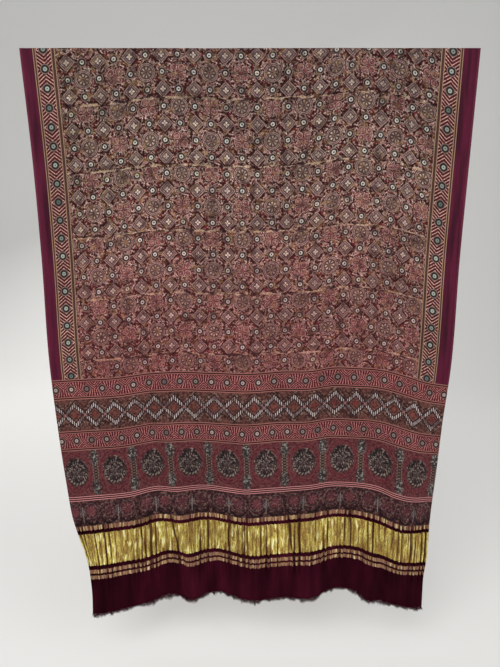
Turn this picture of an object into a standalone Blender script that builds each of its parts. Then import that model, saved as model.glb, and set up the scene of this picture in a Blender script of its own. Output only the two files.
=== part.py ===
# Ajrakh cloth: the printed end of a long block-printed cloth, hanging by its level top edge.
# A gold band is woven in near the hem, and the hem is left raw, with frayed thread ends.
# Metres, +Z up. The origin is at the middle of the top edge, -Y is the front, and +X is the viewer's right.
from collections import namedtuple

import bmesh
import bpy
import numpy as np

for thing in list(bpy.data.objects):
    bpy.data.objects.remove(thing)

# Driving sizes of the cloth
DROP = 1.444
THICKNESS = 0.0012
COLUMNS = 64
ROWS = 26

# Driving sizes of the frayed hem
STRANDS_PER_COLUMN = 3
STRIP_GAP = 0.0004
STRIP_HEIGHT = 0.003
STRIP_THICKNESS = 0.0011
STRAND_LENGTH = 0.009
STRAND_UNEVENNESS = 0.003
STRAND_LEAN = 0.0025
ROOT_INSET = 0.0002
ROOT_NARROWING = 0.6
TIP_NARROWING = 0.35

# The selvedges: how far down from the top edge, and where the left and right ones are there
Selvedge = namedtuple("Selvedge", "down left right")
SELVEDGES = (
    Selvedge(0.00, -0.559, 0.559),
    Selvedge(0.25, -0.545, 0.550),
    Selvedge(0.50, -0.537, 0.541),
    Selvedge(0.80, -0.531, 0.534),
    Selvedge(0.95, -0.519, 0.521),
    Selvedge(1.10, -0.503, 0.514),
    Selvedge(1.23, -0.484, 0.507),
    Selvedge(1.35, -0.448, 0.504),
    Selvedge(1.41, -0.440, 0.496),
    Selvedge(1.51, -0.438, 0.492),
)

# The sag: how much lower each warp hangs than the tightest one, across the width from the left selvedge
Sag = namedtuple("Sag", "across sag")
SAGS = (
    Sag(0.00, 0.044),
    Sag(0.06, 0.040),
    Sag(0.17, 0.033),
    Sag(0.24, 0.023),
    Sag(0.30, 0.017),
    Sag(0.40, 0.0195),
    Sag(0.50, 0.0215),
    Sag(0.59, 0.017),
    Sag(0.66, 0.012),
    Sag(0.71, 0.003),
    Sag(0.77, 0.004),
    Sag(0.83, 0.012),
    Sag(0.89, 0.0295),
    Sag(0.94, 0.046),
    Sag(1.00, 0.058),
)

# The levels that a fold's depths are given at, down from the top edge, where the cloth is still flat
LEVELS = (0.0, 0.45, 0.88, 1.23, DROP)

# The folds: where each runs across the width, at the top and at the hem, its half width as a share of the width,
# and how far it stands out to the front at each level under the top edge
Fold = namedtuple("Fold", "name top hem half_width body bands gold low")
FOLDS = (
    Fold("left swell", 0.04, 0.02, 0.090, -0.006, 0.000, 0.018, 0.038),
    Fold("first trough", 0.24, 0.225, 0.045, -0.004, -0.007, -0.023, -0.030),
    Fold("narrow ridge", 0.30, 0.295, 0.028, 0.000, 0.004, 0.008, 0.017),
    Fold("second trough", 0.385, 0.37, 0.050, 0.004, -0.003, -0.022, -0.033),
    Fold("middle swell", 0.49, 0.485, 0.045, 0.006, 0.004, 0.010, 0.010),
    Fold("middle dip", 0.58, 0.57, 0.040, -0.008, -0.006, 0.004, -0.002),
    Fold("right swell", 0.64, 0.645, 0.035, 0.002, 0.006, 0.000, 0.014),
    Fold("third trough", 0.76, 0.75, 0.055, 0.006, 0.014, -0.008, -0.026),
    Fold("sharp ridge", 0.83, 0.825, 0.022, 0.002, 0.002, 0.004, 0.028),
    Fold("low swell", 0.92, 0.89, 0.045, 0.000, 0.004, 0.024, 0.006),
    Fold("right edge", 1.00, 1.00, 0.035, -0.006, -0.008, -0.024, -0.012),
)


# A smooth curve through points: each stretch is a cubic whose end slopes come from the points beside it
def smooth(at, places, values):
    places, values = np.array(places), np.array(values)
    slopes = np.gradient(values, places)
    low = np.clip(np.searchsorted(places, at, side="right") - 1, 0, len(places) - 2)
    span = places[low + 1] - places[low]
    share = (at - places[low]) / span
    rise = values[low + 1] - values[low]
    ease = share * share * (3 - 2 * share)
    start = slopes[low] * span * share * (1 - share) ** 2
    end = slopes[low + 1] * span * share * share * (share - 1)
    return values[low] + rise * ease + start + end


def column(table, name):
    return [getattr(row, name) for row in table]


def sag(across):
    return smooth(across, column(SAGS, "across"), column(SAGS, "sag"))


# How far the cloth stands out to the front, with each fold a smooth hump or hollow along its own line
def relief(across, down):
    depth = 0.0
    for fold in FOLDS:
        line = fold.top + (fold.hem - fold.top) * down / DROP
        height = smooth(down, LEVELS, (0.0, fold.body, fold.bands, fold.gold, fold.low))
        depth += height * np.exp(-(((across - line) / fold.half_width) ** 2))
    return depth


# A point of the sheet, from its share of the width and its share of the way down its warp
def sheet_point(across, share):
    down = share * (DROP + sag(across))
    left = smooth(down, column(SELVEDGES, "down"), column(SELVEDGES, "left"))
    right = smooth(down, column(SELVEDGES, "down"), column(SELVEDGES, "right"))
    return left + (right - left) * across, -relief(across, share * DROP), -down


def paint(thing, name, colour, roughness, metallic=0.0):
    material = bpy.data.materials.new(name)
    material.use_nodes = True
    surface = material.node_tree.nodes["Principled BSDF"]
    surface.inputs["Base Color"].default_value = (*colour, 1.0)
    surface.inputs["Roughness"].default_value = roughness
    surface.inputs["Metallic"].default_value = metallic
    thing.data.materials.append(material)


def new_object(name, bm):
    mesh = bpy.data.meshes.new(name)
    bm.to_mesh(mesh)
    bm.free()
    thing = bpy.data.objects.new(name, mesh)
    bpy.context.collection.objects.link(thing)
    return thing


# The cloth: a grid bent to the sheet's form, thickened evenly to both sides
def make_cloth():
    bm = bmesh.new()
    bmesh.ops.create_grid(bm, x_segments=COLUMNS, y_segments=ROWS, size=0.5)
    for vert in bm.verts:
        vert.co = sheet_point(vert.co.x + 0.5, 0.5 - vert.co.y)
    bmesh.ops.recalc_face_normals(bm, faces=bm.faces)
    cloth = new_object("cloth", bm)
    cloth.data.shade_smooth()
    body = cloth.modifiers.new("thickness", "SOLIDIFY")
    body.thickness = THICKNESS
    body.offset = 0.0
    body.use_even_offset = True
    paint(cloth, "madder print", (0.16, 0.055, 0.05), 0.6)


# The strip's line: straight between the cloth's own columns, so that it runs along the hem's facets
def hem_line():
    corners = np.array([sheet_point(across, 1.0) for across in np.linspace(0.0, 1.0, COLUMNS + 1)])
    places = np.linspace(0, COLUMNS, COLUMNS * STRANDS_PER_COLUMN + 1)
    return np.column_stack([np.interp(places, range(COLUMNS + 1), corners[:, axis]) for axis in range(3)])


# The fringe: a thin strip just under the hem, with one tapered strand drawn down from each of its lower faces
def make_fringe():
    line = hem_line()
    along = np.gradient(line[:, :2], axis=0)
    along /= np.linalg.norm(along, axis=1, keepdims=True)
    front = np.column_stack([along[:, 1], -along[:, 0], np.zeros(len(line))]) * STRIP_THICKNESS / 2
    top = line - (0, 0, STRIP_GAP)
    bottom = top - (0, 0, STRIP_HEIGHT)
    bm = bmesh.new()
    rings = []
    for corners in zip(top + front, top - front, bottom - front, bottom + front):
        rings.append([bm.verts.new(corner) for corner in corners])
    undersides = []
    for ring, following in zip(rings, rings[1:]):
        for side in range(4):
            neighbour = (side + 1) % 4
            face = bm.faces.new((ring[side], ring[neighbour], following[neighbour], following[side]))
            if side == 2:
                undersides.append(face)
    bm.faces.new(rings[0])
    bm.faces.new(rings[-1])
    bmesh.ops.recalc_face_normals(bm, faces=bm.faces)
    bmesh.ops.inset_individual(bm, faces=undersides, thickness=ROOT_INSET, use_even_offset=True)
    for face in undersides:
        draw_in(face, ROOT_NARROWING)
    tips = bmesh.ops.extrude_discrete_faces(bm, faces=undersides)["faces"]
    chance = np.random.default_rng(7)
    for tip in tips:
        draw_in(tip, TIP_NARROWING)
        lean = chance.uniform(-STRAND_LEAN, STRAND_LEAN, 2)
        length = STRAND_LENGTH + chance.uniform(-STRAND_UNEVENNESS, STRAND_UNEVENNESS)
        bmesh.ops.translate(bm, verts=tip.verts, vec=(lean[0], lean[1], -length))
    fringe = new_object("fringe", bm)
    paint(fringe, "frayed threads", (0.09, 0.02, 0.03), 0.8)


# Draws a face's corners towards its middle, to a share of its size
def draw_in(face, share):
    middle = face.calc_center_median()
    for vert in face.verts:
        vert.co = middle + (vert.co - middle) * share


make_cloth()
make_fringe()
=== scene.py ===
import math
import random

import bpy
import numpy as np
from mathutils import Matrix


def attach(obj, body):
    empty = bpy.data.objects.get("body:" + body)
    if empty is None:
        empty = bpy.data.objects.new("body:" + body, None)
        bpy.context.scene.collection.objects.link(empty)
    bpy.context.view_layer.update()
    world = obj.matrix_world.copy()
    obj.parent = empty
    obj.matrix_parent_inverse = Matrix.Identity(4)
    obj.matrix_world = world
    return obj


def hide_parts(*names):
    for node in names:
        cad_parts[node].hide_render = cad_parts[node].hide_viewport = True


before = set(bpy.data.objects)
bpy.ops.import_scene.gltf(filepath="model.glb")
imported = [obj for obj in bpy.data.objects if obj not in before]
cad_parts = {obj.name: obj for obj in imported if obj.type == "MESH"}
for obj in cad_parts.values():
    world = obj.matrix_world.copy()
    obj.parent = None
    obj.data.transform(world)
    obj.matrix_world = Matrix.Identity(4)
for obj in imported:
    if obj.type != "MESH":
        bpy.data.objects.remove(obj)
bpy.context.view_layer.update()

# metres, +Z up; the printed face looks to -Y; the origin is the middle of the level top edge


# ---- shader and geometry trees: a value wraps a socket, and sums on values add Math nodes

class Value:
    def __init__(self, tree, socket):
        self.tree, self.socket = tree, socket

    def node(self, kind, settings=None, output=0, **inputs):
        return addNode(self.tree, kind, settings, inputs, output)

    def maths(self, operation, *others, clamp=False):
        inputs = {str(place): value for place, value in enumerate((self, *others))}
        return self.node("ShaderNodeMath", {"operation": operation, "use_clamp": clamp}, **inputs)

    def __add__(self, other): return self.maths("ADD", other)
    def __radd__(self, other): return self.maths("ADD", other)
    def __sub__(self, other): return self.maths("SUBTRACT", other)
    def __rsub__(self, other): return self.maths("MULTIPLY_ADD", -1.0, other)
    def __mul__(self, other): return self.maths("MULTIPLY", other)
    def __rmul__(self, other): return self.maths("MULTIPLY", other)
    def __truediv__(self, other): return self.maths("DIVIDE", other)
    def __rtruediv__(self, other): return self.maths("POWER", -1.0) * other
    def __abs__(self): return self.maths("ABSOLUTE")


def addNode(tree, kind, settings=None, inputs=None, output=0):
    family = {"SHADER": "ShaderNode", "GEOMETRY": "GeometryNode"}[tree.type]
    whole = kind.startswith(("ShaderNode", "GeometryNode", "FunctionNode", "NodeGroup"))
    node = tree.nodes.new(kind if whole else family + kind)
    for name, setting in (settings or {}).items():
        if name == "stops":
            fillRamp(node.color_ramp, setting)
        else:
            setattr(node, name, setting)
    for name, value in (inputs or {}).items():
        socket = node.inputs[int(name)] if name.isdigit() else node.inputs[name]
        if isinstance(value, Value):
            tree.links.new(value.socket, socket)
        else:
            socket.default_value = value
    return Value(tree, node.outputs[output]) if len(node.outputs) else None


def fillRamp(ramp, stops):
    while len(ramp.elements) < len(stops):
        ramp.elements.new(1.0)
    for element, (place, colour) in zip(ramp.elements, stops):
        element.position = place
        element.color = colour


def dye(red, green, blue):
    # an everyday 0 to 255 colour as the shader's linear one
    parts = [part / 255 for part in (red, green, blue)]
    return (*[part / 12.92 if part <= 0.04045 else ((part + 0.055) / 1.055) ** 2.4 for part in parts], 1.0)


def under(value, limit, soft=0.0006):
    # 1 where the value is under the limit, with a soft edge
    return value.maths("MULTIPLY_ADD", -1 / soft, limit / soft + 0.5, clamp=True)


def over(value, limit, soft=0.0006):
    return value.maths("MULTIPLY_ADD", 1 / soft, 0.5 - limit / soft, clamp=True)


def line(value, place, width, soft=0.0006):
    return under(abs(value - place), width / 2, soft)


def repeat(value, pitch, phase=0.0):
    # how far the value is from the nearest of an endless row of places
    return (value - phase).maths("WRAP", pitch / 2, -pitch / 2)


def length(first, second):
    both = first.node("CombineXYZ", X=first, Y=second)
    return both.node("VectorMath", {"operation": "LENGTH"}, "Value", Vector=both)


def printed(colour, ink, mask):
    # one colour laid over another where the mask says
    return mask.node("Mix", {"data_type": "RGBA"}, 2, **{"0": mask, "6": colour, "7": ink})


def times(colour, tint):
    settings = {"data_type": "RGBA", "blend_type": "MULTIPLY"}
    tree = (tint if isinstance(tint, Value) else colour).tree
    return addNode(tree, "Mix", settings, {"0": 1.0, "6": colour, "7": tint}, 2)


def stretched(place, x, y):
    return place.node("VectorMath", {"operation": "MULTIPLY"}, 0, **{"0": place, "1": (x, y, 1.0)})


def cloud(place, scale, detail=2.0):
    return place.node("TexNoise", {"noise_dimensions": "2D"}, 0, Vector=place, Scale=scale, Detail=detail)


def chance(first, second):
    # one random number for each whole pair
    both = first.node("CombineXYZ", X=first, Y=second)
    return both.node("TexWhiteNoise", {"noise_dimensions": "2D"}, 0, Vector=both)


def speckle(place, size, stops, outline, share):
    # a jumble of small leaves with outlines
    scale = 1 / size
    cells = place.node("TexVoronoi", {"voronoi_dimensions": "2D"}, 1, Vector=place, Scale=scale)
    tone = cells.node("SeparateColor", None, 0, Color=cells)
    colour = tone.node("ValToRGB", {"stops": stops}, 0, Fac=tone)
    edge = place.node("TexVoronoi", {"voronoi_dimensions": "2D", "feature": "DISTANCE_TO_EDGE"}, 0,
                      Vector=place, Scale=scale)
    return printed(colour, outline, under(edge, 0.10, 0.08) * share)


def newFinish(name, draw):
    # draw gets the place on the flat cloth and gives the inputs of the surface
    finish = bpy.data.materials.new(name)
    finish.use_nodes = True
    tree = finish.node_tree
    for node in list(tree.nodes):
        tree.nodes.remove(node)
    place = addNode(tree, "UVMap", {"uv_map": "weave"})
    side = place.node("SeparateXYZ", None, 0, Vector=place)
    down = place.node("SeparateXYZ", None, 1, Vector=place)
    inputs = draw(place, side, down)
    yarns = cloud(stretched(place, 850, 90), 1.0, 1.0) + cloud(stretched(place, 90, 1000), 1.0, 1.0)
    height = yarns * 0.0002 + inputs.pop("height", 0.0)
    normal = yarns.node("Bump", None, 0, Strength=inputs.pop("bump", 0.6), Distance=1.0, Height=height)
    worn = cloud(place, 9.0, 3.0).maths("MULTIPLY_ADD", 0.5, 0.75) * yarns.maths("MULTIPLY_ADD", 0.35, 0.65)
    tint = worn.node("CombineColor", None, 0, Red=worn, Green=worn, Blue=worn)
    inputs["Base Color"] = times(inputs["Base Color"], tint)
    inputs.setdefault("Specular IOR Level", 0.12)
    surface = normal.node("BsdfPrincipled", None, 0, Normal=normal, **inputs)
    surface.node("OutputMaterial", None, 0, Surface=surface)
    return finish


# ---- the cloth's layout

cloth = {
    "width": 1.12,          # from selvedge to selvedge, as woven
    "drop": 1.444,          # top edge to hem, along the tightest warp
    "pulledFrom": 1.08,     # how far down the selvedges begin to draw in
    "pullPower": 13,        # how steeply that pull fades away from the selvedge
    "columns": 600,
    "fieldRows": 44,        # rows of the mesh down the printed field
    "levels": (0.0, 0.45, 0.88, 1.23, 1.444),   # where the folds' depths are given
    # down from the top edge, then the left and the right selvedge there
    "selvedges": (
        (0.00, -0.559, 0.559), (0.25, -0.545, 0.550), (0.50, -0.537, 0.541), (0.80, -0.531, 0.534),
        (0.95, -0.519, 0.521), (1.10, -0.503, 0.514), (1.23, -0.484, 0.507), (1.35, -0.448, 0.504),
        (1.41, -0.440, 0.496), (1.51, -0.438, 0.492),
    ),
    # share of the width, then how much lower that warp hangs than the tightest one
    "sags": (
        (0.00, 0.044), (0.06, 0.040), (0.17, 0.033), (0.24, 0.023), (0.30, 0.017), (0.40, 0.0195),
        (0.50, 0.0215), (0.59, 0.017), (0.66, 0.012), (0.71, 0.003), (0.77, 0.004), (0.83, 0.012), (0.89, 0.0295),
        (0.94, 0.046), (1.00, 0.058),
    ),
    # place across at the top and at the hem, half width, then how far it stands out at each level
    "folds": {
        "leftSwell": (0.04, 0.02, 0.090, 0.0, -0.006, 0.000, 0.018, 0.038),
        "firstTrough": (0.24, 0.225, 0.045, 0.0, -0.004, -0.007, -0.023, -0.030),
        "narrowRidge": (0.30, 0.295, 0.028, 0.0, 0.000, 0.004, 0.008, 0.017),
        "secondTrough": (0.385, 0.37, 0.050, 0.0, 0.004, -0.003, -0.022, -0.033),
        "middleSwell": (0.49, 0.485, 0.045, 0.0, 0.006, 0.004, 0.010, 0.010),
        "middleDip": (0.58, 0.57, 0.040, 0.0, -0.008, -0.006, 0.004, -0.002),
        "rightSwell": (0.64, 0.645, 0.035, 0.0, 0.002, 0.006, 0.000, 0.014),
        "thirdTrough": (0.76, 0.75, 0.055, 0.0, 0.006, 0.014, -0.008, -0.026),
        "sharpRidge": (0.83, 0.825, 0.022, 0.0, 0.002, 0.002, 0.004, 0.028),
        "lowSwell": (0.92, 0.89, 0.045, 0.0, 0.000, 0.004, 0.024, 0.006),
        "rightEdge": (1.00, 1.00, 0.035, 0.0, -0.006, -0.008, -0.024, -0.012),
    },
    # soft creases: place across, place down, half length, half width, lean, how far it stands out
    "creases": {
        "leftMargin": (0.016, 0.30, 0.330, 0.0045, 0.000, -0.0018),
        "rightMargin": (0.972, 0.45, 0.300, 0.0080, 0.006, 0.0020),
        "upperWrinkle": (0.800, 0.105, 0.045, 0.0200, 0.620, 0.0026),
        "secondWrinkle": (0.870, 0.150, 0.050, 0.0220, 0.560, -0.0024),
        "thirdWrinkle": (0.940, 0.190, 0.040, 0.0160, 0.480, 0.0022),
        "topLeftPull": (0.110, 0.080, 0.110, 0.0300, -0.120, 0.0024),
        "topMiddlePull": (0.420, 0.060, 0.130, 0.0350, 0.060, -0.0022),
        "topRightPull": (0.700, 0.050, 0.120, 0.0320, 0.100, 0.0022),
        "bandCrease": (0.245, 0.980, 0.160, 0.0120, 0.020, -0.0040),
        "bandCreaseRight": (0.480, 1.020, 0.120, 0.0150, 0.010, 0.0030),
        "cornerCrease": (0.870, 1.040, 0.100, 0.0140, 0.050, 0.0040),
        "endFirst": (0.060, 1.400, 0.060, 0.0080, 0.040, 0.0030),
        "endSecond": (0.140, 1.390, 0.070, 0.0090, 0.060, -0.0030),
        "endThird": (0.271, 1.370, 0.090, 0.0070, 0.010, -0.0040),
        "endFourth": (0.358, 1.380, 0.080, 0.0080, 0.000, 0.0035),
        "endFifth": (0.430, 1.390, 0.070, 0.0090, 0.000, -0.0028),
        "endSixth": (0.512, 1.380, 0.080, 0.0080, 0.000, -0.0038),
        "endSeventh": (0.600, 1.400, 0.070, 0.0090, 0.000, 0.0028),
        "endEighth": (0.690, 1.390, 0.070, 0.0080, -0.010, -0.0026),
        "endNinth": (0.796, 1.385, 0.080, 0.0050, 0.015, -0.0050),
        "endDiagonal": (0.860, 1.375, 0.060, 0.0070, 0.450, 0.0026),
        "endTenth": (0.950, 1.390, 0.070, 0.0080, 0.000, -0.0034),
    },
}

# the bands below the printed field: height, rows of the mesh, finish
bands = {
    "upperRings": (0.0559, 7, "ringBand"),
    "zigzag": (0.0857, 10, "zigzagBand"),
    "lowerRings": (0.0556, 7, "ringBand"),
    "medallions": (0.1278, 13, "medallionBand"),
    "threeLines": (0.0150, 4, "lineBand"),
    "vines": (0.0700, 10, "vineBand"),
    "upperStrip": (0.0120, 5, "goldStrip"),
    "upperLine": (0.0105, 3, "plainEnd"),
    "goldBand": (0.0890, 22, "goldTissue"),
    "lowerLine": (0.0120, 3, "plainEnd"),
    "middleStrip": (0.0105, 4, "goldStrip"),
    "thinLine": (0.0060, 2, "plainEnd"),
    "lowerStrip": (0.0100, 4, "goldStrip"),
    "plainEnd": (0.0985, 14, "plainEnd"),
}


def bandTop(name):
    top = cloth["drop"] - sum(band[0] for band in bands.values())
    for other, band in bands.items():
        if other == name:
            return top
        top += band[0]


def bandMiddle(name):
    return bandTop(name) + bands[name][0] / 2


# ---- the print's small forms

inks = {
    "ground": dye(44, 13, 13),
    "white": dye(188, 182, 172),
    "indigo": dye(36, 30, 32),
    "outline": dye(166, 142, 130),
    "brick": dye(126, 36, 44),
    "stone": dye(116, 94, 88),
    "mauve": dye(140, 112, 116),
    "mustard": dye(150, 118, 72),
    "cream": dye(216, 202, 182),
    "margin": dye(82, 20, 44),
    "line": dye(148, 98, 90),
    "olive": dye(66, 46, 40),
    "bandGround": dye(92, 22, 32),
    "pink": dye(188, 126, 122),
    "greyWhite": dye(196, 180, 176),
    "char": dye(30, 20, 20),
}


def ringDot(colour, radius, sizes, core):
    # light outline, dark disc, pale core with a dark eye
    colour = printed(colour, inks["ground"], under(radius, sizes["halo"] + 0.0016) * 0.8)
    colour = printed(colour, sizes["edge"], line(radius, sizes["halo"], 0.0012))
    colour = printed(colour, sizes["ink"], under(radius, sizes["disc"]))
    colour = printed(colour, core, under(radius, sizes["core"]))
    return printed(colour, sizes["ink"], under(radius, sizes["eye"]))


# rows of rings: spacing, place of the first, the ring's sizes, how far the plumes reach to each side, the inks, and how
# thin the plumes' strokes are (nearer 1 is thinner)
ringRow = {"pitch": 0.0441, "phase": 0.009, "halo": 0.0104, "disc": 0.0086, "core": 0.0050, "eye": 0.0015,
           "half": 0.0190, "edge": dye(138, 106, 98), "ink": dye(46, 32, 32), "dull": dye(98, 84, 84),
           "bright": dye(166, 148, 142), "stroke": inks["pink"], "thin": 0.55,
           "shift": 0.003}   # how far the lower row is set over from the upper one
borderRow = {"pitch": 0.0453, "phase": 0.0072, "halo": 0.0110, "disc": 0.0090, "core": 0.0052, "eye": 0.0015,
             "half": 0.0180, "edge": dye(138, 120, 110), "ink": dye(36, 32, 32), "dull": dye(84, 92, 88),
             "bright": dye(154, 158, 146), "stroke": dye(206, 162, 148), "thin": 0.62}
plume = {"root": 0.0240, "fan": 33.0, "fork": 0.0064, "slope": 0.9, "leaf": 0.0088, "slant": 0.8, "soft": 0.5}


def ringsAndPlumes(colour, along, off, row, standing):
    # rings in a row, and between them plumes of strokes that point one way and the other by turns
    number = (along - row["phase"]) / row["pitch"]
    flip = (number.maths("FLOOR") * 0.5).maths("FRACT") * -4.0 + 1.0
    beside = repeat(along, row["pitch"], row["phase"] + row["pitch"] / 2)
    if standing:
        # strokes fan out in one half of the row, and stand as nested forks in the other
        lift = off * flip
        fan = abs(beside) / (lift + plume["root"]).maths("MAXIMUM", plume["root"]) * plume["fan"]
        fork = (abs(beside) * plume["slope"] + lift) * (2 * math.pi / plume["fork"])
        strokes = printed(fork.maths("COSINE"), fan.maths("COSINE"), over(lift, 0.0, 0.001))
        strokes = over(strokes.node("SeparateColor", None, 0, Color=strokes), row["thin"], plume["soft"])
        colour = printed(colour, dye(72, 14, 26), under(abs(beside), 0.0090, 0.006) * 0.5)
    else:
        # strokes lean out to both sides along the row, as on a feather
        lean = (beside * flip - abs(off) * plume["slant"]) * (2 * math.pi / plume["leaf"])
        strokes = over(lean.maths("COSINE"), row["thin"], plume["soft"])
    worn = over(cloud(along.node("CombineXYZ", X=along, Y=off), 220.0, 3.0), 0.46, 0.16) * 0.75 + 0.25
    colour = printed(colour, row["stroke"], strokes * worn * under(abs(off), row["half"], 0.002))
    radius = length(repeat(along, row["pitch"], row["phase"]), off)
    core = printed(row["dull"], row["bright"], chance(number.maths("ROUND"), 0.0))
    return ringDot(colour, radius, row, core)


guard = {"dark": 0.0078, "outer": 0.0013, "outerWide": 0.0022, "inner": 0.0068, "innerWide": 0.0018}


def guardLines(colour, inward):
    # light, dark and light lines along an edge
    colour = printed(colour, dye(44, 8, 14), under(inward, guard["dark"]))
    colour = printed(colour, inks["line"], line(inward, guard["outer"], guard["outerWide"]))
    return printed(colour, inks["line"], line(inward, guard["inner"], guard["innerWide"]))


# ---- the printed field with its side borders and margins

field = {
    "across": 0.03882,      # one step of the block's lattice across the cloth
    "down": 0.040,
    "firstColumn": -15.85,  # the lattice's own count at the left selvedge
    "firstRow": 0.0033,
    "leftMargin": 0.031,
    "rightMargin": 0.040,
    "border": 0.055,
    "borderMiddle": 0.0262,
    "borderLines": (0.0012, 0.0070, 0.0452, 0.0536),
    "oliveInner": 0.0076,
    "oliveOuter": 0.0446,
    "ring": {"halo": 0.0098, "disc": 0.0081, "core": 0.0052, "eye": 0.0020, "edge": dye(146, 130, 118),
             "ink": inks["indigo"]},
}
squares = {"shadow": 0.0246, "ground": 0.0214, "frame": 0.0194, "body": 0.0164, "mauve": 0.0134, "indigo": 0.0104,
           "petalAway": 0.0042, "petal": 0.0019}
lobes = {"across": 0.0094, "down": 0.0096, "ground": 0.0096, "leaves": 0.0084, "line": 0.0076, "inner": 0.0048,
         "heart": 0.0030}
wheels = {"ground": 0.0230, "rim": 0.0212, "rimLine": 0.0208, "beads": 0.0188, "innerLine": 0.0168, "dark": 0.0146,
          "body": 0.0135, "petals": 0.0096, "eye": 0.0018, "beadCount": 26.0, "petalCount": 8.0}


def drawBlocks(place, side, down):
    across = side / field["across"] + field["firstColumn"]
    deep = (down + field["firstRow"]) / field["down"]
    # big flowers stand where the column is even and the row odd, squares where it is the other way round
    column = (across / 2.0).maths("ROUND")
    row = ((deep - 1.0) / 2.0).maths("ROUND")
    luck = chance(column, row)
    bigSide = repeat(across, 2.0) * field["across"]
    bigDown = repeat(deep, 2.0, 1.0) * field["down"]
    bigRadius = length(bigSide, bigDown)
    turn = bigSide.maths("ARCTAN2", bigDown)

    # small leaves stand outward all round each big flower
    leaves = [(0.0, dye(36, 12, 10)), (0.24, dye(54, 18, 18)), (0.30, dye(108, 34, 40)), (0.42, dye(118, 62, 58)),
              (0.49, dye(152, 116, 106)), (0.70, dye(178, 142, 132)), (0.78, dye(130, 114, 98)),
              (1.0, dye(204, 176, 168))]
    outward = turn.node("CombineXYZ", X=turn * 7.5 + luck * 40.0, Y=bigRadius / 0.0034)
    colour = speckle(outward, 1.0, leaves, inks["ground"], 0.8)

    squareSide = repeat(across, 2.0, 1.0) * field["across"]
    squareDown = repeat(deep, 2.0) * field["down"]
    square = abs(squareSide) + abs(squareDown)
    slope = abs(abs(squareSide) - abs(squareDown))
    colour = printed(colour, inks["ground"], line(square, squares["shadow"], 0.0044) * under(slope, 0.0135))
    colour = printed(colour, inks["ground"], under(square, squares["ground"]) * 0.8)
    colour = printed(colour, inks["outline"], line(square, squares["frame"], 0.0026) * 0.8)
    colour = printed(colour, inks["stone"], under(square, squares["body"]))
    colour = printed(colour, inks["mauve"], line(square, squares["mauve"], 0.0018))
    colour = printed(colour, inks["indigo"], line(square, squares["indigo"], 0.0030) * 0.65)
    longer = abs(squareSide).maths("MAXIMUM", abs(squareDown))
    shorter = abs(squareSide).maths("MINIMUM", abs(squareDown))
    petal = length((longer - squares["petalAway"]) * 0.65, shorter)
    bright = chance(((across - 1.0) / 2.0).maths("ROUND"), (deep / 2.0).maths("ROUND") + 0.5)
    colour = printed(colour, inks["cream"], under(petal, squares["petal"]) * (bright * 0.6 + 0.4))

    # four round petals, each full of small leaves
    box = abs(bigSide).maths("MAXIMUM", abs(bigDown))
    lobe = length(abs(bigSide) - lobes["across"], abs(bigDown) - lobes["down"])
    soft = [(0.0, dye(98, 52, 52)), (0.4, dye(136, 92, 88)), (0.7, dye(160, 120, 112)), (1.0, dye(184, 150, 142))]
    leafy = speckle(place, 0.0034, soft, dye(84, 40, 42), 0.7)
    lobed = printed(colour, inks["ground"], line(box, 0.0218, 0.0026) * under(slope * -1.0, -0.022, 0.006))
    lobed = printed(lobed, inks["ground"], under(lobe, lobes["ground"]) * 0.8)
    lobed = printed(lobed, leafy, under(lobe, lobes["leaves"]))
    lobed = printed(lobed, dye(172, 138, 128), line(lobe, lobes["line"], 0.0014) * 0.7)
    lobed = printed(lobed, dye(92, 50, 50), line(lobe, lobes["inner"], 0.0014) * 0.8)
    lobed = printed(lobed, inks["brick"], under(bigRadius, lobes["heart"]) * 0.7)

    # wheels: beaded rim, dark ring, then eight pale petals round a brown heart
    beads = over((turn * wheels["beadCount"]).maths("COSINE"), 0.0, 0.6)
    wheel = printed(colour, inks["ground"], under(bigRadius, wheels["ground"]) * 0.9)
    wheel = printed(wheel, dye(124, 98, 94), under(bigRadius, wheels["rim"]))
    wheel = printed(wheel, dye(80, 52, 54), line(bigRadius, wheels["beads"], 0.0028) * beads)
    wheel = printed(wheel, inks["outline"], line(bigRadius, wheels["rimLine"], 0.0014) * 0.9)
    wheel = printed(wheel, inks["outline"], line(bigRadius, wheels["innerLine"], 0.0013) * 0.7)
    wheel = printed(wheel, inks["ground"], line(bigRadius, wheels["dark"], 0.0022) * 0.75)
    wheel = printed(wheel, dye(108, 84, 76), under(bigRadius, wheels["body"]))
    petals = over((turn * wheels["petalCount"]).maths("COSINE"), 0.15, 0.5)
    petals = petals * line(bigRadius, wheels["petals"], 0.0054, 0.001)
    wheel = printed(wheel, dye(48, 30, 28), line(bigRadius, wheels["petals"], 0.0070, 0.001) * 0.55)
    wheel = printed(wheel, dye(198, 178, 160), petals * (luck * 0.6 + 0.3))
    wheel = printed(wheel, inks["ground"], under(bigRadius, wheels["eye"]) * 0.8)
    turns = ((column + row) * 0.5).maths("FRACT")
    colour = printed(wheel, lobed, over(turns, 0.25, 0.1))

    # rings fill the other places, with a dark dot above and below each
    slant = repeat((across + deep) / 2.0, 1.0)
    counter = repeat((across - deep) / 2.0, 1.0)
    ringSide = (slant + counter) * field["across"]
    ringDown = (slant - counter) * field["down"]
    colour = printed(colour, inks["indigo"], under(length(ringSide, abs(ringDown) - 0.0148), 0.0022))
    colour = ringDot(colour, length(ringSide, ringDown), field["ring"], inks["white"])

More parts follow.
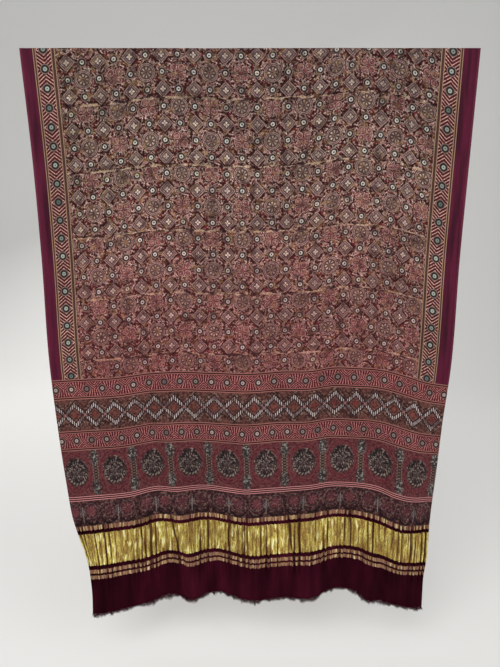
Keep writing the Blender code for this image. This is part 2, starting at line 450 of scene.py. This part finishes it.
    # the joins of the blocks, the odd yellow patch, and how unevenly the blocks were pressed
    blockRow = (deep - 2.5) / 4.0
    join = abs(repeat(blockRow, 1.0)) * (4.0 * field["down"])
    broken = cloud(stretched(place, 34, 120), 1.0, 3.0)
    colour = printed(colour, dye(186, 160, 132), under(join, 0.0028, 0.003) * over(broken, 0.54, 0.06) * 0.85)
    colour = printed(colour, dye(36, 8, 10), under(join, 0.0050, 0.004) * under(broken, 0.45, 0.06) * 0.85)
    colour = printed(colour, inks["mustard"], over(cloud(place, 60.0, 3.0), 0.62, 0.10) * 0.35)
    colour = printed(colour, inks["ground"], over(cloud(place, 38.0, 3.0), 0.60, 0.10) * 0.5)
    grains = place.node("TexVoronoi", {"voronoi_dimensions": "2D"}, 1, Vector=place, Scale=1 / 0.0030)
    grain = grains.node("SeparateColor", None, 0, Color=grains) * 0.9 + 0.56
    colour = times(colour, grain.node("CombineColor", None, 0, Red=grain, Green=grain, Blue=grain))
    # the field grows redder towards the bottom, and darker and greyer at the top and towards the top left
    redder = down.maths("MULTIPLY_ADD", 1 / 0.5, -0.5, clamp=True)
    colour = printed(colour, dye(120, 76, 72), redder * 0.12)
    tint = printed(dye(222, 220, 222), dye(255, 255, 255), over(down, 0.20, 0.20))
    tint = printed(tint, dye(248, 208, 218), redder)
    tint = printed(tint, dye(214, 222, 212), under(side, 0.22, 0.30) * under(down, 0.35, 0.40) * 0.5)
    block = chance(blockRow.maths("FLOOR"), ((across + 1.5) / 4.0).maths("FLOOR"))
    return times(colour, printed(tint, dye(206, 200, 200), block * 0.4))


def drawField(place, side, down):
    colour = drawBlocks(place, side, down)
    fromRight = side * -1.0 + cloth["width"]
    inward = (side - field["leftMargin"]).maths("MINIMUM", fromRight - field["rightMargin"])
    border = printed(dye(84, 24, 32), inks["ground"], over(cloud(place, 200.0), 0.45, 0.2) * 0.8)
    border = ringsAndPlumes(border, down, inward - field["borderMiddle"], borderRow, False)
    olive = under(inward, field["oliveInner"]).maths("MAXIMUM", over(inward, field["oliveOuter"]))
    border = printed(border, inks["olive"], olive)
    for edge in field["borderLines"]:
        border = printed(border, dye(154, 122, 98), line(inward, edge, 0.0018))
    colour = printed(colour, border, under(inward, field["border"]))
    plain = printed(inks["margin"], dye(56, 12, 30), over(cloud(stretched(place, 60, 5), 1.0), 0.5, 0.3))
    plain = printed(plain, dye(104, 44, 62), under(side.maths("MINIMUM", fromRight), 0.0050, 0.002) * 0.5)
    return {"Base Color": printed(colour, plain, under(inward, 0.0)), "Roughness": 0.75}


# ---- the two bands of rings and plumes

def drawRings(place, side, down):
    spacing = bandMiddle("lowerRings") - bandMiddle("upperRings")
    off = repeat(down, spacing, bandMiddle("upperRings"))
    lower = over(down, bandMiddle("zigzag"))
    colour = printed(inks["bandGround"], inks["ground"], over(cloud(place, 200.0), 0.45, 0.2) * 0.7)
    colour = ringsAndPlumes(colour, side + lower * ringRow["shift"], off, ringRow, True)
    colour = guardLines(colour, abs(off) * -1.0 + bands["upperRings"][0] / 2)
    return {"Base Color": colour, "Roughness": 0.75}


# ---- the zigzag band with its chain of diamonds

zigzag = {"pitch": 0.0572, "phase": 0.056, "rise": 0.0278, "stripe": 0.0058, "line": 0.0036, "dash": 0.0056,
          "edge": 0.0175, "edgeLine": 0.0150, "innerLine": 0.0066, "centre": 0.0155, "knot": 0.0080,
          "flower": 0.0062, "flowerLine": 0.0013}


def drawZigzag(place, side, down):
    off = down - bandMiddle("zigzag")
    beside = repeat(side, zigzag["pitch"], zigzag["phase"])
    slope = zigzag["rise"] / (zigzag["pitch"] / 2)
    climb = abs(off) + abs(beside) * slope - zigzag["rise"]   # 0 along the zigzags, less inside the diamonds
    grain = [(0.0, dye(38, 20, 18)), (0.4, dye(72, 42, 38)), (0.7, dye(102, 68, 60)), (1.0, dye(136, 108, 98))]
    colour = speckle(place, 0.0040, grain, dye(36, 18, 18), 0.5)
    brown = [(0.0, dye(40, 18, 17)), (0.5, dye(74, 36, 33)), (1.0, dye(112, 68, 60))]
    weathered = speckle(place, 0.0034, brown, dye(120, 84, 78), 0.25)
    outside = climb - zigzag["stripe"]
    colour = printed(colour, weathered, over(outside, zigzag["edge"]) * 0.75)
    colour = printed(colour, inks["char"], line(outside, zigzag["edgeLine"], 0.0024) * 0.75)
    diamond = climb * -1.0 - zigzag["stripe"]
    colour = printed(colour, weathered, over(diamond, 0.0))
    colour = printed(colour, dye(116, 78, 70), line(diamond, zigzag["innerLine"], 0.0013) * 0.6)
    number = ((side - zigzag["phase"]) / zigzag["pitch"]).maths("ROUND")
    centre = printed(dye(112, 34, 38), dye(124, 74, 54), chance(number, 3.0))
    colour = printed(colour, centre, over(diamond, zigzag["centre"], 0.003) * chance(number, 8.0))
    dashes = over((side * (2 * math.pi / zigzag["dash"])).maths("COSINE"), 0.25, 0.5)
    stripe = printed(dye(42, 30, 32), inks["greyWhite"], dashes)
    patchy = over(cloud(place, 44.0, 3.0), 0.46, 0.2)
    stripe = printed(dye(74, 50, 50), stripe, patchy * 0.85 + 0.1)
    colour = printed(colour, stripe, under(abs(climb), zigzag["stripe"]))
    colour = printed(colour, inks["char"], line(abs(climb), zigzag["stripe"] + zigzag["line"] / 2, zigzag["line"]))
    crossing = repeat(side, zigzag["pitch"], zigzag["phase"] + zigzag["pitch"] / 2)
    flower = abs(abs(crossing) - abs(off))
    around = length(crossing, off)
    colour = printed(colour, inks["char"], under(around, zigzag["knot"]) * 0.8)
    colour = printed(colour, dye(156, 104, 100), under(flower, zigzag["flowerLine"]) * under(around, zigzag["flower"]))
    return {"Base Color": colour, "Roughness": 0.75}


# ---- the band of medallions in arched frames

medallion = {"pitch": 0.1130, "phase": 0.0375, "radius": 0.0345, "lower": 0.0600, "taller": 0.86,
             "archAcross": 0.0435, "archDown": 0.0560, "petals": 22.0, "rim": 0.0290, "post": 0.0090, "rail": 0.0068,
             "slat": 0.0034, "rung": 0.0080, "sprigAway": 0.0430, "sprig": 0.0125}


def drawMedallions(place, side, down):
    deep = down - bandTop("medallions")
    beside = repeat(side, medallion["pitch"], medallion["phase"])
    off = deep - medallion["lower"]
    radius = length(beside, off * medallion["taller"])
    ground = [(0.0, dye(52, 18, 25)), (0.4, dye(78, 31, 38)), (0.7, dye(94, 44, 46)), (1.0, dye(92, 60, 57))]
    colour = speckle(place, 0.0036, ground, dye(112, 70, 70), 0.25)
    arch = length(beside / medallion["archAcross"], (off - 0.002) / medallion["archDown"])
    colour = printed(colour, dye(118, 40, 50), line(arch, 0.92, 0.040, 0.04) * 0.4)
    colour = printed(colour, dye(62, 20, 28), line(arch, 1.00, 0.040, 0.04) * 0.5)
    colour = printed(colour, dye(120, 72, 72), line(arch, 1.08, 0.030, 0.02) * 0.35)
    petals = [(0.0, dye(28, 18, 22)), (0.45, dye(46, 34, 36)), (0.62, dye(76, 58, 58)), (0.85, dye(112, 96, 90)),
              (1.0, dye(150, 136, 126))]
    turn = beside.maths("ARCTAN2", off)
    curl = turn.node("CombineXYZ", X=turn * 7.5, Y=radius / 0.0046)
    flowers = speckle(curl, 1.0, petals, inks["char"], 0.6)
    leaves = over((turn * medallion["petals"] + radius * 500.0).maths("COSINE"), 0.1, 0.6)
    flowers = printed(flowers, inks["char"], line(radius, 0.0292, 0.0090, 0.003) * 0.5)
    rim = line(radius, medallion["rim"], 0.0052, 0.002) * leaves * over(off, 0.004, 0.02)
    flowers = printed(flowers, dye(160, 142, 130), rim * 0.55)
    flowers = printed(flowers, inks["char"], line(radius, 0.0170, 0.0030, 0.003) * 0.5)
    lobes = (turn * 8.0).maths("COSINE") * 0.0014
    edge = radius + cloud(place, 160.0) * 0.012 + lobes
    colour = printed(colour, flowers, under(edge, medallion["radius"] + 0.006, 0.004))
    post = abs(repeat(side, medallion["pitch"], medallion["phase"] + medallion["pitch"] / 2))
    colour = printed(colour, dye(50, 34, 32), under(post, medallion["post"]) * 0.8)
    rungs = over((deep * (2 * math.pi / medallion["rung"])).maths("COSINE"), 0.1, 0.6)
    colour = printed(colour, dye(134, 118, 106), line(post, medallion["rail"], 0.0022) * (rungs * 0.7 + 0.2))
    colour = printed(colour, dye(98, 74, 68), under(post, medallion["slat"]))
    colour = printed(colour, inks["char"], under(post, 0.0036) * rungs)
    ends = abs(deep - bands["medallions"][0] / 2)
    cluster = length(post, (ends - medallion["sprigAway"]) * 0.62)
    sprays = [(0.0, dye(26, 20, 22)), (0.5, dye(56, 48, 48)), (0.75, dye(96, 90, 86)), (1.0, dye(152, 148, 140))]
    sprigs = speckle(place, 0.0036, sprays, dye(34, 26, 28), 0.5)
    colour = printed(colour, sprigs, under(cluster, medallion["sprig"], 0.007) * 0.9)
    return {"Base Color": colour, "Roughness": 0.75}


# ---- three thin lines, then a band of flowers and small trees

thinLines = {"pitch": 0.0056, "half": 0.0009, "reach": 0.0070}


def drawLines(place, side, down):
    off = down - bandMiddle("threeLines")
    colour = printed(dye(58, 18, 24), dye(40, 12, 16), over(cloud(place, 220.0), 0.5, 0.2))
    near = abs(repeat(off, thinLines["pitch"]))
    colour = printed(colour, dye(198, 134, 132), under(near, thinLines["half"]) * under(abs(off), thinLines["reach"]))
    return {"Base Color": colour, "Roughness": 0.75}


vines = {"pitch": 0.0562, "phase": 0.0135, "radius": 0.0150, "lower": 0.0290, "petals": 9.0, "ring": 0.0215,
         "crown": 0.0100, "crownDown": 0.034, "trunk": 0.0011, "trunkDown": 0.038, "trunkTall": 0.044, "swag": 0.0230,
         "swagDown": 0.044}


def drawVines(place, side, down):
    deep = down - bandTop("vines")
    grain = [(0.0, dye(18, 6, 9)), (0.45, dye(40, 13, 17)), (0.70, dye(62, 29, 31)), (1.0, dye(106, 77, 70))]
    colour = speckle(place, 0.0042, grain, dye(96, 68, 70), 0.3)
    beside = repeat(side, vines["pitch"], vines["phase"])
    off = deep - vines["lower"]
    radius = length(beside, off)
    turn = beside.maths("ARCTAN2", off)
    petals = over((turn * vines["petals"] + radius * 300.0).maths("COSINE"), -0.1, 0.8)
    pale = chance(((side - vines["phase"]) / vines["pitch"]).maths("ROUND"), 0.0)
    pink = printed(dye(92, 34, 48), dye(132, 78, 82), petals)
    colour = printed(colour, pink, under(radius, vines["radius"], 0.006) * (pale * 0.35 + 0.12))
    colour = printed(colour, dye(112, 92, 90), line(radius, vines["ring"], 0.0014) * 0.5)
    tree = abs(repeat(side, vines["pitch"] * 2, vines["phase"] + vines["pitch"] / 2))
    crown = length(tree, deep - vines["crownDown"])
    branches = over(((tree + deep) * 900.0).maths("COSINE"), 0.3, 0.5)
    colour = printed(colour, dye(122, 116, 114), under(crown, vines["crown"], 0.004) * branches * 0.5)
    trunk = under(tree, vines["trunk"]) * line(deep, vines["trunkDown"], vines["trunkTall"], 0.003)
    colour = printed(colour, dye(122, 116, 114), trunk * 0.7)
    swag = length(beside, deep - vines["swagDown"])
    colour = printed(colour, dye(20, 12, 16), line(swag, vines["swag"], 0.0060, 0.002) * over(deep, 0.050, 0.008) * 0.8)
    return {"Base Color": colour, "Roughness": 0.75}


# ---- the woven gold, and the plain end below it

crinkle = {
    "depth": 0.0016,
    "longest": 0.018,
    "shortest": 0.007,
    "waves": 26,
    "sway": 2.4,            # how far a crinkle wanders, in turns for each metre down
    "above": 0.018,         # how fast it dies out above and below the gold
    "below": 0.030,
    "kept": 0.05,           # what is left of it far below
    "wander": 0.0013,       # how far a pleat strays from its line
    "wanderRate": 70,
    "kinds": {"thin": (0.0018, 0.0022), "plain": (0.0024, 0.0034), "deep": (0.0036, 0.0050)},   # half width, depth
    # pinched pleats: metres from the left selvedge, how far the foot leans to the right, kind
    "pleats": (
        (0.045, 0.004, "thin"), (0.100, 0.003, "plain"), (0.165, 0.002, "thin"), (0.225, 0.020, "plain"),
        (0.250, 0.002, "deep"), (0.270, 0.005, "thin"), (0.325, 0.015, "deep"), (0.375, 0.002, "thin"),
        (0.400, 0.002, "plain"), (0.425, 0.000, "thin"), (0.490, 0.000, "deep"), (0.520, -0.003, "thin"),
        (0.540, -0.002, "deep"), (0.605, 0.000, "thin"), (0.680, 0.012, "deep"), (0.705, 0.002, "deep"),
        (0.755, 0.001, "thin"), (0.795, 0.000, "thin"), (0.865, 0.005, "plain"), (0.930, -0.003, "plain"),
        (0.985, -0.008, "thin"), (1.050, 0.000, "deep"), (1.065, 0.000, "plain"), (1.095, 0.000, "thin"),
    ),
}


def drawGold(place, side, down):
    # flat bright facets beside dull ones, all drawn out down the cloth; the palest stops of the ramp are painted
    # highlights on the gold
    hills = addNode(place.tree, "Attribute", {"attribute_name": "crinkle"}, None, "Fac")
    bend = cloud(stretched(place, 34, 16), 1.0) * 0.009
    moved = place.node("CombineXYZ", X=side + bend, Y=down)
    wide = cloud(stretched(moved, 85, 18), 1.0, 3.0)
    fine = cloud(stretched(moved, 320, 34), 1.0, 2.0)
    mottled = cloud(stretched(moved, 420, 170), 1.0, 1.0)
    stops = [(0.0, dye(64, 38, 16)), (0.34, dye(116, 84, 42)), (0.42, dye(146, 114, 58)), (0.50, dye(166, 138, 70)),
             (0.56, dye(190, 170, 86)), (0.63, dye(218, 205, 122)), (0.72, dye(246, 240, 192)),
             (1.0, dye(252, 250, 226))]
    # the crinkle height lightens the crests a little: painted light
    tone = wide * 0.45 + fine * 0.25 + mottled * 0.30 + hills * 0.02
    colour = tone.node("ValToRGB", {"stops": stops}, 0, Fac=tone)
    colour = printed(colour, dye(92, 58, 32), under(fine, 0.35, 0.04) * 0.5)
    # painted highlights: small glints of light on the gold, more of them towards the left selvedge
    paintedGlints = cloud(stretched(moved, 120, 28), 1.0, 2.0)
    glintPatches = over(cloud(stretched(place, 12, 4), 1.0) - side * 0.16, 0.40, 0.10)
    colour = printed(colour, dye(224, 212, 112), over(paintedGlints, 0.565, 0.035) * glintPatches * 0.85)
    colour = printed(colour, dye(250, 244, 200), over(paintedGlints, 0.65, 0.04) * glintPatches * 0.8)
    # painted shade in the pleats' troughs: brown at the sides and dark in the core, partly also the darker warp showing
    # there
    colour = printed(colour, dye(112, 78, 44), under(hills, -0.7, 1.0) * 0.55)
    colour = printed(colour, dye(58, 22, 18), under(hills, -1.6, 0.8) * 0.85)
    return {"Base Color": colour, "Roughness": 0.42, "Metallic": 0.25, "height": fine * 0.0008 + wide * 0.0012,
            "bump": 0.8}


def drawStrip(place, side, down):
    hills = addNode(place.tree, "Attribute", {"attribute_name": "crinkle"}, None, "Fac")
    tone = cloud(stretched(place, 120, 9), 1.0, 2.0)
    marks = cloud(stretched(place, 360, 12), 1.0, 1.0)
    # the palest stops are painted highlights on the crests, and the crinkle height lightens the crests a little more
    stops = [(0.0, dye(90, 50, 46)), (0.38, dye(126, 84, 68)), (0.50, dye(150, 112, 90)), (0.60, dye(178, 146, 98)),
             (0.72, dye(214, 194, 148)), (1.0, dye(234, 222, 184))]
    colour = tone.node("ValToRGB", {"stops": stops}, 0, Fac=tone + hills * 0.015)
    colour = printed(colour, dye(84, 36, 34), under(marks, 0.40, 0.05) * 0.7)
    # painted shade in the pleats' troughs
    colour = printed(colour, dye(44, 10, 14), under(hills, -1.1, 0.6) * 0.8)
    return {"Base Color": colour, "Roughness": 0.48, "Metallic": 0.15, "height": marks * 0.0006}


def drawPlain(place, side, down):
    # lighter and darker streaks down the plain end: partly uneven dye, partly painted shade of soft folds
    dyeAndShadeStreaks = cloud(stretched(place, 22, 4), 1.0, 2.0)
    colour = printed(dye(40, 5, 16), dye(61, 12, 28), over(dyeAndShadeStreaks, 0.5, 0.35))
    # painted shade: the plain end is darker towards both selvedges, where the folds turn away from the light
    middle = under(abs(side - cloth["width"] / 2), 0.36, 0.30)
    return {"Base Color": printed(times(colour, dye(186, 160, 176)), colour, middle), "Roughness": 0.8,
            "Specular IOR Level": 0.03}


def drawThread(place, side, down):
    return {"Base Color": printed(dye(44, 6, 18), dye(66, 14, 28), over(cloud(place, 300.0), 0.5, 0.4)),
            "Roughness": 0.8, "Specular IOR Level": 0.03}


finishes = {
    "printedField": newFinish("printedField", drawField),
    "ringBand": newFinish("ringBand", drawRings),
    "zigzagBand": newFinish("zigzagBand", drawZigzag),
    "medallionBand": newFinish("medallionBand", drawMedallions),
    "lineBand": newFinish("lineBand", drawLines),
    "vineBand": newFinish("vineBand", drawVines),
    "goldStrip": newFinish("goldStrip", drawStrip),
    "goldTissue": newFinish("goldTissue", drawGold),
    "plainEnd": newFinish("plainEnd", drawPlain),
}
print("finishes:", len(finishes))


# ---- the cloth's form

def smooth(at, places, values):
    # a cubic through the points, with each end slope taken from the points beside it
    places, values = np.array(places), np.array(values)
    slopes = np.gradient(values, places)
    low = np.clip(np.searchsorted(places, at, side="right") - 1, 0, len(places) - 2)
    span = places[low + 1] - places[low]
    share = (at - places[low]) / span
    ease = share * share * (3 - 2 * share)
    start = slopes[low] * span * share * (1 - share) ** 2
    end = slopes[low + 1] * span * share * share * (share - 1)
    return values[low] + (values[low + 1] - values[low]) * ease + start + end


def fromTable(rows, column, at):
    return smooth(at, [row[0] for row in rows], [row[column] for row in rows])


def relief(across, level):
    depth = np.zeros_like(across)
    for top, hem, halfWidth, *heights in cloth["folds"].values():
        middle = top + (hem - top) * level / cloth["drop"]
        depth += smooth(level, cloth["levels"], heights) * np.exp(-(((across - middle) / halfWidth) ** 2))
    for place, down, halfLength, halfWidth, lean, height in cloth["creases"].values():
        off = across - place - lean * (level - down)
        depth += height * np.exp(-((off / halfWidth) ** 2) - ((level - down) / halfLength) ** 4)
    return depth


def crinkles(across, level):
    # uneven waves and pinched pleats that run down the cloth, in shares of the crinkle depth
    luck = random.Random(11)
    side = across * cloth["width"]
    height = np.zeros_like(across)
    for _ in range(crinkle["waves"]):
        wave = crinkle["shortest"] * (crinkle["longest"] / crinkle["shortest"]) ** luck.random()
        turn = luck.uniform(0, 2 * math.pi)
        sway = luck.uniform(-crinkle["sway"], crinkle["sway"]) * 2 * math.pi
        height += np.sin(side * 2 * math.pi / wave + turn + level * sway) * wave / crinkle["longest"]
    height *= 1.6 / math.sqrt(crinkle["waves"] / 2)
    middle = bandMiddle("goldBand")
    for place, lean, kind in crinkle["pleats"]:
        halfWidth, depth = crinkle["kinds"][kind]
        wander = place + lean * (level - middle) / bands["goldBand"][0]
        wander += crinkle["wander"] * np.sin(level * crinkle["wanderRate"] + place * 60)
        height -= depth / crinkle["depth"] * np.exp(-(((side - wander) / halfWidth) ** 2))
    return height


def goldShare(level):
    # 1 over the gold, dying out above and below it
    above = np.clip((bandTop("upperStrip") - level) / crinkle["above"], 0, None)
    below = np.clip((level - bandTop("plainEnd")) / crinkle["below"], 0, None)
    return np.exp(-above ** 2) * (crinkle["kept"] + (1 - crinkle["kept"]) * np.exp(-below ** 2))


def wovenShare(across, down):
    # the pull inward below the bands falls mostly on the cloth next to the selvedges
    left, right = (fromTable(cloth["selvedges"], column, down) for column in (1, 2))
    held = np.minimum(down, cloth["pulledFrom"])
    heldLeft, heldRight = (fromTable(cloth["selvedges"], column, held) for column in (1, 2))
    share = across
    power = cloth["pullPower"]
    for _ in range(50):
        place = heldLeft + (heldRight - heldLeft) * share
        place = place + (left - heldLeft) * (1 - share) ** power + (right - heldRight) * share ** power
        share = share + across - (place - left) / (right - left)
    return np.clip(share, 0, 1)


def clothGrid():
    fieldEnd = bandTop("upperRings")
    levels = list(np.linspace(0, fieldEnd, cloth["fieldRows"] + 1))
    rows = ["printedField"] * cloth["fieldRows"]
    for height, count, finish in bands.values():
        levels += list(levels[-1] + height * np.arange(1, count + 1) / count)
        rows += [finish] * count
    across, level = np.meshgrid(np.linspace(0, 1, cloth["columns"] + 1), np.array(levels))
    sag = fromTable(cloth["sags"], 1, across)
    down = level + sag * np.clip(level / fieldEnd, 0, 1)   # the top edge is level, so the cloth is cut short there
    left, right = (fromTable(cloth["selvedges"], column, down) for column in (1, 2))
    share = wovenShare(across, down)
    hills = goldShare(level) * crinkles(share, level)
    depth = relief(across, level) + hills * crinkle["depth"]
    places = np.stack([left + (right - left) * across, -depth, -down], axis=-1)
    woven = np.stack([share * cloth["width"], down - sag], axis=-1)
    return places, woven, hills, rows


def addPiece(name, mesh):
    piece = bpy.data.objects.new(name, mesh)
    bpy.context.collection.objects.link(piece)
    return piece


def makeCloth(places, woven, hills, rows):
    wide = cloth["columns"] + 1
    first = (np.arange(len(rows))[:, None] * wide + np.arange(cloth["columns"])).ravel()
    faces = np.stack([first, first + wide, first + wide + 1, first + 1], axis=-1)
    mesh = bpy.data.meshes.new("ajrakhCloth")
    mesh.from_pydata(places.reshape(-1, 3).tolist(), [], faces.tolist())
    corners = np.empty(len(mesh.loops), dtype=np.int32)
    mesh.loops.foreach_get("vertex_index", corners)
    weave = woven.reshape(-1, 2)[corners].astype(np.float32)
    mesh.uv_layers.new(name="weave").uv.foreach_set("vector", weave.ravel())
    attribute = mesh.attributes.new("crinkle", "FLOAT", "POINT")
    attribute.data.foreach_set("value", hills.astype(np.float32).ravel())
    names = list(finishes)
    for finish in finishes.values():
        mesh.materials.append(finish)
    slots = np.repeat([names.index(row) for row in rows], cloth["columns"])
    mesh.polygons.foreach_set("material_index", slots.astype(np.int32))
    mesh.shade_smooth()
    print("cloth:", len(mesh.polygons) * 2, "triangles")
    return addPiece("ajrakhCloth", mesh)


places, woven, hills, rows = clothGrid()
clothPiece = makeCloth(places, woven, hills, rows)


# ---- frayed threads along the hem

threads = {"count": 4800, "radius": 0.00034, "length": 0.0130, "shortest": 0.30, "lean": 0.24, "tuck": 0.0020,
           "tufts": 55.0, "seed": 5, "twist": 18.0}


def threadTree(finish):
    tree = bpy.data.node_groups.new("frayedHem", "GeometryNodeTree")
    sockets = {"Geometry": "Geometry", "Count": "Int", "Length": "Float", "Radius": "Float", "Lean": "Float",
               "Seed": "Int"}
    for name, kind in sockets.items():
        tree.interface.new_socket(name, in_out="INPUT", socket_type="NodeSocket" + kind)
    tree.interface.new_socket("Geometry", in_out="OUTPUT", socket_type="NodeSocketGeometry")
    entry = tree.nodes.new("NodeGroupInput")
    given = {socket.name: Value(tree, socket) for socket in entry.outputs if socket.name}
    tall, lean = given["Length"], given["Lean"]
    hem = addNode(tree, "MeshToCurve", None, {"Mesh": given["Geometry"]})
    points = hem.node("ResampleCurve", None, 0, Curve=hem, Count=given["Count"])
    tip = tall.node("ShaderNodeCombineXYZ", None, 0, X=tall * 0.25, Z=tall * -1.0)
    bow = tall.node("ShaderNodeCombineXYZ", None, 0, X=tall * -0.22, Z=tall * -0.5)
    bend = {"Resolution": 3, "Start Handle": bow, "End Handle": bow, "End": tip, "Start": (0.0, 0.0, 0.0)}
    thread = tip.node("CurvePrimitiveBezierSegment", {"mode": "POSITION"}, 0, **bend)
    outline = tall.node("CurvePrimitiveCircle", None, 0, Resolution=3, Radius=given["Radius"])
    solid = thread.node("CurveToMesh", None, 0, **{"Curve": thread, "Profile Curve": outline, "Fill Caps": True})
    span = {"0": (-1.0, -1.0, 0.0), "1": (1.0, 1.0, threads["twist"]), "Seed": given["Seed"]}
    free = tall.node("FunctionNodeRandomValue", {"data_type": "FLOAT_VECTOR"}, 0, **span)
    swing = lean.node("ShaderNodeCombineXYZ", None, 0, X=lean, Y=lean, Z=0.35)
    turned = free.node("ShaderNodeVectorMath", {"operation": "MULTIPLY"}, 0, **{"0": free, "1": swing})
    span = {"2": threads["shortest"], "3": 1.0, "Seed": given["Seed"] + 1.0}
    luck = tall.node("FunctionNodeRandomValue", {"data_type": "FLOAT"}, 1, **span)
    place = addNode(tree, "InputPosition")
    tufts = place.node("ShaderNodeTexNoise", None, 0, Vector=place, Scale=threads["tufts"], Detail=2.0)
    size = luck.node("ShaderNodeCombineXYZ", None, 0, X=1.0, Y=1.0, Z=luck * (tufts * 2.8 - 0.4))
    spread = points.node("InstanceOnPoints", None, 0, Points=points, Instance=solid, Rotation=turned, Scale=size)
    real = spread.node("RealizeInstances", None, 0, Geometry=spread)
    done = real.node("SetMaterial", None, 0, Geometry=real, Material=finish)
    leave = tree.nodes.new("NodeGroupOutput")
    tree.links.new(done.socket, leave.inputs[0])
    return tree


def makeFringe(hemLine):
    mesh = bpy.data.meshes.new("hemLine")
    steps = [(place, place + 1) for place in range(len(hemLine) - 1)]
    mesh.from_pydata((hemLine + np.array([0.0, 0.0, threads["tuck"]])).tolist(), steps, [])
    holder = addPiece("hemLine", mesh)
    tree = threadTree(newFinish("frayedThreads", drawThread))
    modifier = holder.modifiers.new("frayedHem", "NODES")
    modifier.node_group = tree
    given = {"Count": "count", "Length": "length", "Radius": "radius", "Lean": "lean", "Seed": "seed"}
    for socket in tree.interface.items_tree:
        if socket.in_out == "INPUT" and socket.name in given:
            modifier[socket.identifier] = threads[given[socket.name]]
    graph = bpy.context.evaluated_depsgraph_get()
    spread = bpy.data.meshes.new_from_object(holder.evaluated_get(graph))
    bpy.data.objects.remove(holder)
    spread.name = "frayedFringe"
    print("fringe:", len(spread.polygons), "faces")
    return addPiece("frayedFringe", spread)


fringePiece = makeFringe(places[-1])


# ---- what each piece stands for

for piece, node in ((clothPiece, "cloth"), (fringePiece, "fringe")):
    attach(piece, "root")
    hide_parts(node)

flatLength = float(woven[-1, 0, 1] - woven[0, :, 1].min())
flatArea = cloth["width"] * float(np.mean(woven[-1, :, 1] - woven[0, :, 1]))
print("flat:", round(flatLength, 3), "m long,", round(flatArea, 3), "square metres")


# ---- a plain pale room, soft light and the camera

room = {"floor": -1.640, "near": -6.0, "wall": 4.5, "bend": 1.6, "half": 8.0, "top": 5.0, "steps": 16}


def makeBackdrop():
    # a floor that sweeps up into a wall
    middle = (room["wall"] - room["bend"], room["floor"] + room["bend"])
    turns = [math.pi / 2 * step / room["steps"] for step in range(room["steps"] + 1)]
    curve = [(middle[0] + math.sin(turn) * room["bend"], middle[1] - math.cos(turn) * room["bend"]) for turn in turns]
    profile = [(room["near"], room["floor"])] + curve + [(room["wall"], room["top"])]
    corners = [(x, y, z) for y, z in profile for x in (-room["half"], room["half"])]
    faces = [(at, at + 1, at + 3, at + 2) for at in range(0, len(corners) - 2, 2)]
    mesh = bpy.data.meshes.new("backdrop")
    mesh.from_pydata(corners, [], faces)
    mesh.shade_smooth()
    plain = bpy.data.materials.new("palePaper")
    plain.use_nodes = True
    paper = plain.node_tree.nodes["Principled BSDF"]
    paper.inputs["Base Color"].default_value = dye(226, 225, 222)
    paper.inputs["Roughness"].default_value = 0.9
    mesh.materials.append(plain)
    return addPiece("backdrop", mesh)


lamps = {
    "key": ((-1.2, -3.2, 1.5), 3.0, 105.0),
    "fill": ((2.6, -2.4, 0.4), 2.4, 36.0),
    "behind": ((-1.5, 3.2, 1.6), 3.0, 90.0),
}


def aim(piece, target):
    direction = [to - at for to, at in zip(target, piece.location)]
    flat = math.hypot(direction[0], direction[1])
    piece.rotation_euler = (math.pi / 2 + math.atan2(direction[2], flat), 0, -math.atan2(direction[0], direction[1]))


makeBackdrop()
for name, (location, size, power) in lamps.items():
    light = bpy.data.lights.new(name, "AREA")
    light.size, light.energy = size, power
    lamp = bpy.data.objects.new(name, light)
    bpy.context.collection.objects.link(lamp)
    lamp.location = location
    aim(lamp, (0.0, 0.0, -0.75))

world = bpy.data.worlds.new("paleRoom")
bpy.context.scene.world = world
world.use_nodes = True
world.node_tree.nodes["Background"].inputs["Color"].default_value = (0.92, 0.93, 0.95, 1.0)
world.node_tree.nodes["Background"].inputs["Strength"].default_value = 0.46

view = {"across": 500, "high": 667, "focal": 600, "away": 1.55, "height": -0.4312, "pitch": 9.9}   # sizes in pixels
lens = bpy.data.cameras.new("camera")
lens.sensor_fit = "AUTO"
lens.sensor_width = 36.0
lens.lens = lens.sensor_width * view["focal"] / view["high"]
camera = bpy.data.objects.new("camera", lens)
bpy.context.collection.objects.link(camera)
camera.location = (0.0, -view["away"], view["height"])
camera.rotation_euler = (math.radians(90 - view["pitch"]), 0.0, 0.0)
bpy.context.scene.camera = camera
bpy.context.scene.view_settings.view_transform = "Standard"
